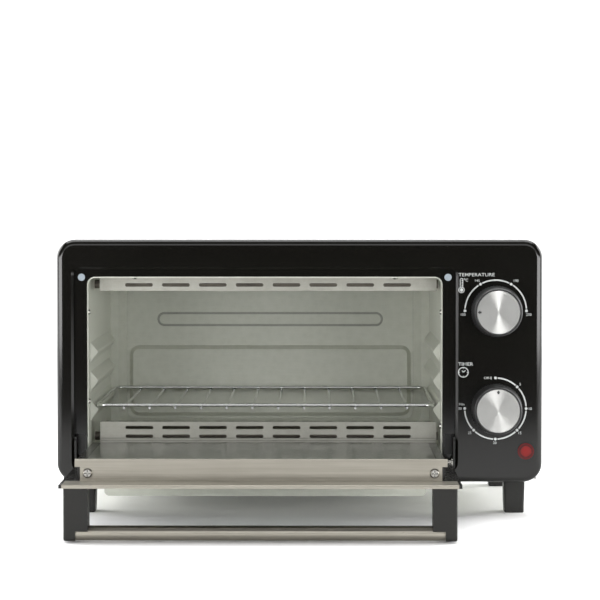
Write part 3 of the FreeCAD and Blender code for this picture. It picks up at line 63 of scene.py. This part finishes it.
class Look:
    """One material's node tree: a Principled shader with short ways to add patterns to it."""

    def __init__(self, name, **constants):
        self.material = bpy.data.materials.new(name)
        self.material.use_nodes = True
        self.tree = self.material.node_tree
        self.shader = next(n for n in self.tree.nodes if n.type == "BSDF_PRINCIPLED")
        for socket, value in constants.items():
            self.shader.inputs[socket.replace("_", " ")].default_value = value
        self.place = self.tree.nodes.new("ShaderNodeTexCoord").outputs["Object"]

    def new(self, kind, **settings):
        node = self.tree.nodes.new(kind)
        for key, value in settings.items():
            setattr(node, key, value)
        return node

    def link(self, source, target):
        self.tree.links.new(source, target)

    def stretched(self, stretch):
        """The object's own coordinates, stretched along its axes."""
        node = self.new("ShaderNodeMapping")
        node.inputs["Scale"].default_value = stretch
        self.link(self.place, node.inputs["Vector"])
        return node.outputs["Vector"]

    def noise(self, scale, detail, roughness, stretch=(1, 1, 1), distortion=0.0):
        node = self.new("ShaderNodeTexNoise")
        node.inputs["Scale"].default_value = scale
        node.inputs["Detail"].default_value = detail
        node.inputs["Roughness"].default_value = roughness
        node.inputs["Distortion"].default_value = distortion
        self.link(self.stretched(stretch), node.inputs["Vector"])
        return node.outputs["Fac"]

    def cells(self, scale):
        node = self.new("ShaderNodeTexVoronoi")
        node.inputs["Scale"].default_value = scale
        self.link(self.place, node.inputs["Vector"])
        return node.outputs["Distance"]

    def from_middle(self):
        """How far a point is from the middle of a round piece that faces Y; 0.5 at its rim."""
        point = self.new("ShaderNodeTexCoord").outputs["Generated"]
        for operation, value in (("SUBTRACT", (0.5, 0.5, 0.5)), ("MULTIPLY", (1, 0, 1))):
            node = self.new("ShaderNodeVectorMath", operation=operation)
            node.inputs[1].default_value = value
            self.link(point, node.inputs[0])
            point = node.outputs[0]
        reach = self.new("ShaderNodeVectorMath", operation="LENGTH")
        self.link(point, reach.inputs[0])
        return reach.outputs["Value"]

    def between(self, factor, low, high, at_low=LOW, at_high=HIGH):
        """A factor spread over a range of values."""
        node = self.new("ShaderNodeMapRange")
        for name, value in (
            ("From Min", at_low),
            ("From Max", at_high),
            ("To Min", low),
            ("To Max", high),
        ):
            node.inputs[name].default_value = value
        self.link(factor, node.inputs["Value"])
        return node.outputs["Result"]

    def tones(self, factor, *stops):
        """A colour from a factor; each stop is (place, colour)."""
        node = self.new("ShaderNodeValToRGB")
        ramp = node.color_ramp
        while len(ramp.elements) < len(stops):
            ramp.elements.new(0.5)
        for element, (place, colour) in zip(ramp.elements, stops):
            element.position = place
            element.color = (*colour, 1.0)
        self.link(factor, node.inputs["Fac"])
        return node.outputs["Color"]

    def two_tones(self, factor, dark, light):
        return self.tones(factor, (LOW, dark), (HIGH, light))

    def sum(self, first, second, share):
        """Two factors mixed, with a share of the second."""
        node = self.new("ShaderNodeMix", data_type="FLOAT")
        node.inputs["Factor"].default_value = share
        self.link(first, node.inputs[FLOAT_A])
        self.link(second, node.inputs[FLOAT_B])
        return node.outputs[FLOAT_RESULT]

    def painted_shade(self, colour, reach, darkest):
        """The colour with painted shade: darkened in grooves and inside corners narrower than
        the reach.
        """
        air = self.new("ShaderNodeAmbientOcclusion", samples=8, only_local=True)
        air.inputs["Distance"].default_value = reach
        node = self.new("ShaderNodeMix", data_type="RGBA", blend_type="MULTIPLY")
        node.inputs["Factor"].default_value = 1.0
        # painted shade: darkest where the occlusion finds little open air around a point
        shade_tones = self.tones(air.outputs["AO"], (SHUT, (darkest,) * 3), (OPEN, (1.0,) * 3))
        self.link(colour, node.inputs[COLOUR_A])
        self.link(shade_tones, node.inputs[COLOUR_B])
        return node.outputs[COLOUR_RESULT]

    def colour(self, socket):
        self.link(socket, self.shader.inputs["Base Color"])

    def rough(self, socket):
        self.link(socket, self.shader.inputs["Roughness"])

    def bumps(self, *layers):
        """Bump layers, each (height, strength, depth in metres), the coarsest first."""
        normal = None
        for height, strength, depth in layers:
            node = self.new("ShaderNodeBump")
            node.inputs["Strength"].default_value = strength
            node.inputs["Distance"].default_value = depth
            self.link(height, node.inputs["Height"])
            if normal is not None:
                self.link(normal, node.inputs["Normal"])
            normal = node.outputs["Normal"]
        self.link(normal, self.shader.inputs["Normal"])


def moulded(name, dark, light, rough, grain, depth, shine=0.5):
    """Moulded or painted: a fine grain, with slight clouds in its colour and gloss."""
    look = Look(name, IOR=1.48, Specular_IOR_Level=shine)
    clouds = look.noise(22, 5, 0.6)
    fine = look.noise(grain, 2, 0.5)
    mixed = look.sum(clouds, fine, 0.6)
    look.colour(look.two_tones(mixed, dark, light))
    look.rough(look.between(mixed, rough - 0.02, rough + 0.03))
    look.bumps((fine, 0.25, depth))
    return look


def sheet_steel(name, dark, mid, light, rough, metallic):
    """Aluminised sheet: faint spangles, rolling lines, cloudy sheen and painted shade in its
    grooves.
    """
    look = Look(name, Metallic=metallic)
    clouds = look.noise(9, 5, 0.55)
    grain = look.noise(900, 2, 0.6)
    rolled = look.noise(60, 3, 0.6, stretch=(1, 1, 14))
    spangle = look.cells(170)
    mixed = look.sum(look.sum(clouds, rolled, 0.3), look.sum(grain, spangle, 0.4), 0.4)
    sheet = look.tones(mixed, (0.25, dark), (0.5, mid), (0.75, light))
    # painted shade in grooves and inside corners within 3 mm
    look.colour(look.painted_shade(sheet, 3.0 * MM, 0.35))
    look.rough(look.between(mixed, rough - 0.07, rough + 0.08))
    look.bumps((clouds, 0.10, 0.5 * MM), (grain, 0.30, 0.02 * MM))
    return look


def plated(name, dark, light, rough):
    """Bright plating: mirror-like, with faint haze, fine draw lines and painted shade in its
    recesses.
    """
    look = Look(name, Metallic=1.0)
    haze = look.noise(140, 4, 0.6)
    lines = look.noise(700, 2, 0.5, stretch=(1, 0.06, 1))
    mixed = look.sum(haze, lines, 0.4)
    # painted shade in recesses within 0.8 mm, such as the screws' crosses
    look.colour(look.painted_shade(look.two_tones(mixed, dark, light), 0.8 * MM, 0.25))
    look.rough(look.between(mixed, rough - 0.04, rough + 0.06))
    look.bumps((lines, 0.2, 0.01 * MM))
    return look


def brushed(name, dark, light, rough):
    """Steel brushed along X."""
    look = Look(name, Metallic=1.0, Anisotropic=0.55)
    along = (0.012, 1, 1)
    coarse = look.noise(420, 4, 0.65, stretch=along)
    fine = look.noise(1600, 3, 0.6, stretch=along)
    clouds = look.noise(14, 3, 0.5)
    lines = look.sum(coarse, fine, 0.5)
    look.colour(look.two_tones(look.sum(lines, clouds, 0.25), dark, light))
    look.rough(look.between(lines, rough - 0.07, rough + 0.1))
    look.bumps((coarse, 0.35, 0.02 * MM), (fine, 0.4, 0.01 * MM))
    return look


def spun(name, dark, light, rough):
    """A turned aluminium face: round grooves about the disc's own middle."""
    look = Look(name, Metallic=1.0, Anisotropic=0.9)
    node = look.new("ShaderNodeTexNoise", noise_dimensions="1D")
    node.inputs["Scale"].default_value = 160
    node.inputs["Detail"].default_value = 4
    look.link(look.from_middle(), node.inputs["W"])
    grooves = node.outputs["Fac"]
    clouds = look.noise(120, 3, 0.5)
    mixed = look.sum(grooves, clouds, 0.2)
    look.colour(look.two_tones(mixed, dark, light))
    look.rough(look.between(mixed, rough - 0.05, rough + 0.07))
    look.bumps((grooves, 0.25, 0.02 * MM))
    tangent = look.new("ShaderNodeTangent", direction_type="RADIAL", axis="Y")
    look.link(tangent.outputs["Tangent"], look.shader.inputs["Tangent"])
    return look


def ceramic(name, dark, light, rough):
    """Unglazed ceramic: chalky and grainy."""
    look = Look(name, IOR=1.5)
    clouds = look.noise(60, 5, 0.6)
    grain = look.noise(1500, 3, 0.7)
    look.colour(look.two_tones(look.sum(clouds, grain, 0.5), dark, light))
    look.rough(look.between(grain, rough - 0.07, rough + 0.08))
    look.bumps((grain, 0.5, 0.05 * MM))
    return look


def heated(name, dark, mid, light, rough):
    """Heater tube: patches of matt oxide over a drawn steel tube."""
    look = Look(name, Metallic=0.75)
    patches = look.noise(45, 5, 0.6)
    grain = look.noise(1200, 3, 0.6, stretch=(0.1, 1, 1))
    mixed = look.sum(patches, grain, 0.35)
    look.colour(look.tones(mixed, (0.25, dark), (0.5, mid), (0.75, light)))
    look.rough(look.between(patches, rough - 0.1, rough + 0.1))
    look.bumps((grain, 0.4, 0.03 * MM))
    return look


def rubber(name, dark, light, rough):
    """Soft rubber with a fine bloom."""
    look = Look(name, IOR=1.45)
    clouds = look.noise(180, 4, 0.6)
    grain = look.noise(2200, 2, 0.6)
    look.colour(look.two_tones(look.sum(clouds, grain, 0.4), dark, light))
    look.rough(look.between(grain, rough - 0.07, rough + 0.08))
    look.bumps((grain, 0.3, 0.03 * MM))
    return look


def lens(name, core, core_edge, groove_shade, bezel):
    """Red lens: a dark bezel ring round a brighter core with a prism pattern behind it, and a
    ring of painted shade in the groove between them.
    """
    look = Look(name, IOR=1.49, Specular_IOR_Level=0.3)
    facets = look.cells(650)
    cut = look.between(facets, 0.0, 0.5, at_low=0.0, at_high=1.0)
    rings = look.sum(look.from_middle(), cut, 0.10)
    # the darkest stop is painted shade in the groove between the core and the bezel
    look.colour(
        look.tones(rings, (0.20, core), (0.31, core_edge), (0.35, groove_shade), (0.40, bezel))
    )
    look.rough(look.between(facets, 0.08, 0.16))
    look.bumps((facets, 0.15, 0.04 * MM))
    return look


def pane(name, dark, light):
    """Dark, faintly green tempered glass: slight roller waves and a few smears in its gloss."""
    look = Look(name, IOR=1.52, Transmission_Weight=1.0)
    waves = look.noise(16, 2, 0.4, stretch=(1, 0.25, 1))
    smears = look.noise(30, 5, 0.65, stretch=(1, 0.4, 1), distortion=0.6)
    look.colour(look.two_tones(smears, dark, light))
    look.rough(look.between(smears, 0.12, 0.20))
    look.bumps((waves, 0.05, 0.4 * MM))
    return look


def ink(name, dark, light, rough):
    """Printed ink: a slightly uneven film with soft gloss."""
    look = Look(name, IOR=1.45)
    film = look.noise(800, 3, 0.6)
    clouds = look.noise(90, 3, 0.5)
    look.colour(look.two_tones(look.sum(film, clouds, 0.5), dark, light))
    look.rough(look.between(film, rough - 0.06, rough + 0.08))
    look.bumps((film, 0.25, 0.02 * MM))
    return look


BLACK = (0.0030, 0.0028, 0.0021)
SOFT_BLACK = (0.0050, 0.0047, 0.0036)

# each finish: how it is made, then its colours from dark to light, its roughness and the rest
FINISHES = {
    "black_plastic": (moulded, BLACK, SOFT_BLACK, 0.12, 1300, 0.008 * MM, 0.42),
    "handle_plastic": (
        moulded,
        (0.0070, 0.0068, 0.0056),
        (0.0105, 0.0102, 0.0086),
        0.46,
        900,
        0.04 * MM,
        0.3,
    ),
    "foot_plastic": (
        moulded,
        (0.010, 0.010, 0.0088),
        (0.016, 0.016, 0.0142),
        0.48,
        800,
        0.05 * MM,
        0.3,
    ),
    "knob_plastic": (moulded, (0.009,) * 3, (0.015,) * 3, 0.38, 1000, 0.04 * MM),
    "switch_plastic": (
        moulded,
        (0.56, 0.53, 0.45),
        (0.66, 0.63, 0.54),
        0.5,
        700,
        0.06 * MM,
    ),
    "black_paint": (moulded, BLACK, SOFT_BLACK, 0.30, 1500, 0.02 * MM),
    "door_frame_black": (moulded, BLACK, SOFT_BLACK, 0.26, 1500, 0.02 * MM),
    "galvanised_steel": (
        sheet_steel,
        (0.50, 0.515, 0.445),
        (0.58, 0.595, 0.52),
        (0.65, 0.66, 0.59),
        0.42,
        0.15,
    ),
    "brushed_steel": (brushed, (0.235, 0.220, 0.186), (0.345, 0.326, 0.282), 0.33),
    "spun_aluminium": (spun, (0.32, 0.32, 0.31), (0.46, 0.46, 0.445), 0.37),
    "bright_steel": (plated, (0.36, 0.35, 0.32), (0.50, 0.49, 0.46), 0.22),
    "dark_screws": (moulded, (0.03,) * 3, (0.05,) * 3, 0.38, 1500, 0.03 * MM),
    "rack_chrome": (plated, (0.64, 0.65, 0.64), (0.80, 0.81, 0.80), 0.14),
    "heater_steel": (
        heated,
        (0.075, 0.068, 0.060),
        (0.145, 0.130, 0.110),
        (0.215, 0.200, 0.180),
        0.52,
    ),
    "insulator_ceramic": (ceramic, (0.66, 0.62, 0.55), (0.86, 0.83, 0.77), 0.77),
    "grey_rubber": (rubber, (0.25, 0.295, 0.33), (0.335, 0.385, 0.42), 0.57),
    "red_lens": (
        lens,
        (0.19, 0.0034, 0.0024),
        (0.14, 0.0026, 0.0020),
        # painted shade in the groove between the core and the bezel
        (0.020, 0.0008, 0.0008),
        (0.08, 0.0018, 0.0016),
    ),
    "door_glass": (pane, (0.16, 0.185, 0.16), (0.22, 0.245, 0.22)),
    "white_ink": (ink, (0.50, 0.52, 0.51), (0.60, 0.62, 0.61), 0.45),
    "black_ink": (ink, (0.010,) * 3, (0.018,) * 3, 0.5),
    # a darker copy of the galvanised steel for the guards: painted shade
    "shaded_guard_steel": (
        sheet_steel,
        (0.265, 0.262, 0.228),
        (0.315, 0.312, 0.275),
        (0.365, 0.360, 0.325),
        0.40,
        0.3,
    ),
}
looks = {name: make(name, *values) for name, (make, *values) in FINISHES.items()}

# the slotted guards share the walls' slot but get a darker copy of the walls' steel: painted
# shade that dims them, as they catch more of the lamps' light than the walls deep inside
OWN_FINISH = {"upper_heater_guard": "shaded_guard_steel", "lower_heater_guard": "shaded_guard_steel"}

for part in record["subparts"]:
    piece = frame["nodes"][part["node"]]
    finish = looks[OWN_FINISH.get(part["node"], part["material_slot"])].material
    if not piece.material_slots:
        piece.data.materials.append(finish)
    for used in piece.material_slots:
        used.material = finish


# ---------------------------------------------------------------- printed marks

INK_THICKNESS = 0.08 * MM
INK_GAP = 0.03 * MM

SCALE_RADIUS = 22.7 * MM
SCALE_LINE = 1.05 * MM
SCALE_DOT = 1.05 * MM
SCALE_BREAK = 4.2  # degrees left open on each side of a dot
NUMBER_HEIGHT = 1.95 * MM
LABEL_HEIGHT = 2.45 * MM
LETTER_WEIGHT = 0.004
PRINT_SHIFT = Vector((-0.75 * MM, 0, 0.3 * MM))  # the print's middle from the dial's

SPOT_STEPS = 28
ARC_STEPS = 24
HOOP_STEPS = 20  # in each half

face_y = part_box("front_frame")[0].y


def prism(mesh, outline, near, far):
    """A closed prism between two depths, from an outline of (x, z) points."""
    front = [mesh.verts.new((x, near, z)) for x, z in outline]
    back = [mesh.verts.new((x, far, z)) for x, z in outline]
    mesh.faces.new(front)
    mesh.faces.new(back[::-1])
    for here in range(len(outline)):
        there = (here + 1) % len(outline)
        mesh.faces.new((front[there], front[here], back[here], back[there]))


def around(x, z, radius, angles):
    """The points on a circle at some angles, in radians from +X towards +Z."""
    return [(x + radius * math.cos(a), z + radius * math.sin(a)) for a in angles]


def spot(x, z, radius):
    return around(x, z, radius, [math.tau * step / SPOT_STEPS for step in range(SPOT_STEPS)])


def band(x, z, radius, width, start, end, steps):
    """The outline of an arc's band, with its angles in degrees."""
    turn = [math.radians(start + (end - start) * step / steps) for step in range(steps + 1)]
    outer = around(x, z, radius + width / 2, turn)
    inner = around(x, z, radius - width / 2, turn)
    return outer + inner[::-1]


def stroke(x0, z0, x1, z1, width):
    along = Vector((x1 - x0, z1 - z0)).normalized() * (width / 2)
    side = Vector((-along.y, along.x))
    return [
        (x0 - side.x, z0 - side.y),
        (x1 - side.x, z1 - side.y),
        (x1 + side.x, z1 + side.y),
        (x0 + side.x, z0 + side.y),
    ]


def flat_letters(words):
    """A flat mesh of some words in the built-in font."""
    curve = bpy.data.curves.new("words", "FONT")
    curve.body = words
    curve.resolution_u = 3
    curve.offset = LETTER_WEIGHT
    holder = bpy.data.objects.new("words", curve)
    bpy.context.scene.collection.objects.link(holder)
    bpy.context.view_layer.update()
    depsgraph = bpy.context.evaluated_depsgraph_get()
    mesh = bpy.data.meshes.new_from_object(holder.evaluated_get(depsgraph))
    bpy.data.objects.remove(holder)
    letters = bmesh.new()
    letters.from_mesh(mesh)
    bpy.data.meshes.remove(mesh)
    bmesh.ops.remove_doubles(letters, verts=letters.verts[:], dist=1e-5)
    return letters


class Print:
    """Marks printed on a flat face that looks to -Y, gathered into one mesh."""

    def __init__(self, near, far):
        self.near, self.far = near, far
        self.mesh = bmesh.new()

    def add(self, outline):
        prism(self.mesh, outline, self.near, self.far)

    def hoop(self, x, z, radius, width, steps=HOOP_STEPS):
        """A whole ring, as two half bands that share their ends."""
        self.add(band(x, z, radius, width, 0, 180, steps))
        self.add(band(x, z, radius, width, 180, 360, steps))

    def text(self, words, x, z, height, width=None):
        """Words with their middle at x, z, in their own proportions if no width is given."""
        letters = flat_letters(words)
        across = [v.co.x for v in letters.verts]
        up = [v.co.y for v in letters.verts]
        tall = height / (max(up) - min(up))
        wide = tall if width is None else width / (max(across) - min(across))
        mid_x, mid_y = (min(across) + max(across)) / 2, (min(up) + max(up)) / 2
        for v in letters.verts:
            v.co = Vector(
                ((v.co.x - mid_x) * wide + x, self.far, (v.co.y - mid_y) * tall + z)
            )
        made = bmesh.ops.extrude_face_region(letters, geom=letters.faces[:])
        for item in made["geom"]:
            if isinstance(item, bmesh.types.BMVert):
                item.co.y = self.near
        bmesh.ops.recalc_face_normals(letters, faces=letters.faces[:])
        solid = bpy.data.meshes.new("words")
        letters.to_mesh(solid)
        letters.free()
        self.mesh.from_mesh(solid)
        bpy.data.meshes.remove(solid)

    def done(self, name, finish, body):
        bmesh.ops.recalc_face_normals(self.mesh, faces=self.mesh.faces[:])
        mesh = bpy.data.meshes.new(name)
        self.mesh.to_mesh(mesh)
        self.mesh.free()
        mesh.materials.append(looks[finish].material)
        piece = bpy.data.objects.new(name, mesh)
        bpy.context.scene.collection.objects.link(piece)
        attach(piece, body)


def panel_print():
    return Print(face_y - INK_GAP - INK_THICKNESS, face_y - INK_GAP)


def middle(node):
    low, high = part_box(node)
    return (low + high) / 2


def dial_scale(marks, hub, first, step, labels):
    """An arc broken at each dot; each label is (words, mm right of the hub, mm above it)."""
    for number in range(len(labels)):
        here = first + step * number
        dot = around(hub.x, hub.z, SCALE_RADIUS, [math.radians(here)])[0]
        marks.add(spot(*dot, SCALE_DOT))
        if number:
            gap = math.copysign(SCALE_BREAK, step)
            marks.add(
                band(
                    hub.x,
                    hub.z,
                    SCALE_RADIUS,
                    SCALE_LINE,
                    here - step + gap,
                    here - gap,
                    ARC_STEPS,
                )
            )
    for words, right, above in labels:
        marks.text(words, hub.x + right * MM, hub.z + above * MM, NUMBER_HEIGHT)


def thermometer(marks, x, z):
    """A thermometer with the middle of its bulb at x, z, and a degree sign and a C beside it."""
    line, half_tube = 0.42 * MM, 0.95 * MM
    start, end = z + 1.9 * MM, z + 7.6 * MM
    marks.hoop(x, z, 2.05 * MM, 0.5 * MM)
    marks.add(spot(x, z, 1.25 * MM))
    for wall in (x - half_tube, x + half_tube):
        marks.add(stroke(wall, start, wall, end, line))
    marks.add(band(x, end, half_tube, line, 0, 180, 12))
    for rung in range(4):
        up = z + (3.2 + 1.25 * rung) * MM
        marks.add(stroke(x - 0.05 * MM, up, x + 0.75 * MM, up, 0.4 * MM))
    marks.hoop(x + 2.15 * MM, z + 8.0 * MM, 0.5 * MM, 0.3 * MM, 10)
    marks.text("C", x + 3.9 * MM, z + 7.3 * MM, 2.1 * MM)


def clock(marks, x, z):
    """A clock's ring with four ticks and two hands."""
    marks.hoop(x, z, 3.6 * MM, 0.55 * MM)
    ticks = [(90 * quarter, 2.5 * MM, 3.45 * MM, 0.45 * MM) for quarter in range(4)]
    hands = [(128, 0, 1.6 * MM, 0.5 * MM), (42, 0, 2.3 * MM, 0.5 * MM)]
    for angle, start, end, width in ticks + hands:
        a = math.radians(angle)
        (x0, z0), (x1, z1) = around(x, z, start, [a])[0], around(x, z, end, [a])[0]
        marks.add(stroke(x0, z0, x1, z1, width))


temperature_hub = middle("thermostat_shaft") + PRINT_SHIFT
timer_hub = middle("timer_shaft") + PRINT_SHIFT

marks = panel_print()
dial_scale(
    marks,
    temperature_hub,
    180,
    -60,
    [
        ("100", -24.0, -2.8),
        ("145", -13.6, 22.3),
        ("190", 15.0, 22.2),
        ("230", 24.4, -2.8),
    ],
)
marks.done("temperature_scale", "white_ink", "oven")

marks = panel_print()
dial_scale(
    marks,
    timer_hub,
    90,
    -45,
    [
        ("Off-0", -5.6, 22.7),
        ("5", 18.2, 18.0),
        ("10", 25.8, -0.1),
        ("15", 18.2, -18.1),
        ("20", -0.4, -25.4),
        ("25", -19.0, -18.0),
        ("30", -26.2, 0.0),
    ],
)
marks.text("Min", timer_hub.x - 24.9 * MM, timer_hub.z + 3.2 * MM, NUMBER_HEIGHT)
marks.done("timer_scale", "white_ink", "oven")

# a label above and to the left of each dial, with a sign under it
label_left = temperature_hub.x - 27.5 * MM
marks = panel_print()
for words, hub, width, centre, above in (
    ("TEMPERATURE", temperature_hub, 26.6 * MM, 13.3 * MM, 26.7 * MM),
    ("TIMER", timer_hub, 11.0 * MM, 5.4 * MM, 33.0 * MM),
):
    marks.text(words, label_left + centre, hub.z + above, LABEL_HEIGHT, width)
bulb = Vector((temperature_hub.x - 25.3 * MM, 0, temperature_hub.z + 15.4 * MM))
thermometer(marks, bulb.x, bulb.z)
face = Vector((timer_hub.x - 23.8 * MM, 0, timer_hub.z + 26.9 * MM))
clock(marks, face.x, face.z)
marks.done("panel_labels", "white_ink", "oven")


def pointer(name, face, body, angle):
    """A small dark arrow inlaid near the rim of a dial's face."""
    low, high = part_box(face)
    hub = (low + high) / 2
    reach = (high.x - low.x) / 2
    out = Vector((math.cos(math.radians(angle)), math.sin(math.radians(angle))))
    side = Vector((-out.y, out.x))
    tip, waist, tail = reach - 0.9 * MM, reach - 2.6 * MM, reach - 3.7 * MM
    half_head, half_shaft = 1.4 * MM, 0.7 * MM
    arrow = [
        (tip, 0),
        (waist, half_head),
        (waist, half_shaft),
        (tail, half_shaft),
        (tail, -half_shaft),
        (waist, -half_shaft),
        (waist, -half_head),
    ]
    sunk, proud = 0.05 * MM, 0.04 * MM
    marks = Print(low.y - proud, low.y + sunk)
    points = [Vector((hub.x, hub.z)) + out * along + side * across for along, across in arrow]
    marks.add([(point.x, point.y) for point in points])
    marks.done(name, "black_ink", body)


pointer("temperature_pointer", "temperature_knob_face", "temperature_dial", 180)
pointer("timer_pointer", "timer_knob_face", "timer_dial", 90)


# ---------------------------------------------------------------- studio

FLOOR_HALF_WIDTH = 3.5
FLOOR_NEAR = -0.78  # the gloss of the front mirrors the dark studio in front of this
FLOOR_BEND = 1.3
BEND_RADIUS = 1.0
BEND_STEPS = 12
BACKDROP_TOP = 3.6


def studio_surface():
    """A pale sweep: a floor that curves up into a backdrop."""
    profile = [(FLOOR_NEAR, 0.0), (FLOOR_BEND, 0.0)]
    for step in range(1, BEND_STEPS + 1):
        a = math.radians(90 * step / BEND_STEPS)
        profile.append(
            (FLOOR_BEND + BEND_RADIUS * math.sin(a), BEND_RADIUS * (1 - math.cos(a)))
        )
    profile.append((FLOOR_BEND + BEND_RADIUS, BACKDROP_TOP))
    mesh = bpy.data.meshes.new("floor")
    points = [(side * FLOOR_HALF_WIDTH, y, z) for y, z in profile for side in (-1, 1)]
    faces = [(2 * i, 2 * i + 1, 2 * i + 3, 2 * i + 2) for i in range(len(profile) - 1)]
    mesh.from_pydata(points, [], faces)
    mesh.polygons.foreach_set("use_smooth", [True] * len(mesh.polygons))
    floor = bpy.data.objects.new("floor", mesh)
    bpy.context.scene.collection.objects.link(floor)
    look = Look("floor_paper", IOR=1.3)
    paper = look.noise(4, 2, 0.5)
    look.colour(look.two_tones(paper, (0.90,) * 3, (0.92,) * 3))
    look.rough(look.between(paper, 0.85, 0.95))
    mesh.materials.append(look.material)


def lamp(name, place, aim, size, power):
    """A soft box, which lights the scene and shows in gloss, but not to the camera."""
    light = bpy.data.lights.new(name, "AREA")
    light.shape = "RECTANGLE"
    light.size, light.size_y = size
    light.energy = power
    holder = bpy.data.objects.new(name, light)
    bpy.context.scene.collection.objects.link(holder)
    holder.location = place
    holder.rotation_mode = "QUATERNION"
    toward = Vector(aim) - Vector(place)
    holder.rotation_quaternion = toward.to_track_quat("-Z", "Y")
    holder.visible_camera = False


def studio_world(glow, backdrop):
    """A dim world that gives little light, and is pale where the camera sees past the floor."""
    world = bpy.data.worlds.new("studio")
    world.use_nodes = True
    nodes, links = world.node_tree.nodes, world.node_tree.links
    dim = next(n for n in nodes if n.type == "BACKGROUND")
    seen = nodes.new("ShaderNodeBackground")
    for node, strength in ((dim, glow), (seen, backdrop)):
        node.inputs["Color"].default_value = (1, 1, 1, 1)
        node.inputs["Strength"].default_value = strength
    either = nodes.new("ShaderNodeMixShader")
    output = next(n for n in nodes if n.type == "OUTPUT_WORLD")
    path = nodes.new("ShaderNodeLightPath")
    sources = path.outputs["Is Camera Ray"], dim.outputs[0], seen.outputs[0]
    for source, target in zip(sources, either.inputs):
        links.new(source, target)
    links.new(either.outputs[0], output.inputs["Surface"])
    return world


studio_surface()
for name, place, aim, size, power in (
    ("overhead", (0.0, 0.1, 1.9), (0, 0.05, 0), (2.6, 1.4), 36),
    ("front_box", (0.0, -2.4, 1.0), (0, 0, 0.12), (2.4, 1.0), 14),
    ("backdrop_wash", (0.0, 0.7, 2.4), (0, 2.2, 0.5), (3.6, 0.8), 55),
    ("left_strip", (-0.85, -0.85, 0.16), (0, 0, 0.15), (1.1, 0.22), 7.5),
    ("right_strip", (0.85, -0.85, 0.16), (0, 0, 0.15), (1.1, 0.22), 7.5),
    ("left_rim", (-1.5, 0.5, 0.6), (0, 0, 0.15), (1.5, 1.2), 34),
    ("right_rim", (1.5, 0.5, 0.6), (0, 0, 0.15), (1.5, 1.2), 34),
):
    lamp(name, place, aim, size, power)

scene = bpy.context.scene
scene.world = studio_world(glow=0.07, backdrop=1.0)
scene.view_settings.view_transform = "Standard"
scene.view_settings.look = "None"

CAMERA_TILT = 2.36  # degrees down
CAMERA_TURN = 0.43  # degrees to the left
lens_data = bpy.data.cameras.new("camera")
lens_data.sensor_width = 36.0
lens_data.lens = 146.2
lens_data.clip_start = 0.05
lens_data.clip_end = 50
camera = bpy.data.objects.new("camera", lens_data)
scene.collection.objects.link(camera)
camera.location = (0.014, -1.8464, 0.2355)
camera.rotation_euler = Euler(
    (math.radians(90 - CAMERA_TILT), 0, math.radians(CAMERA_TURN)), "XYZ"
)
scene.camera = camera
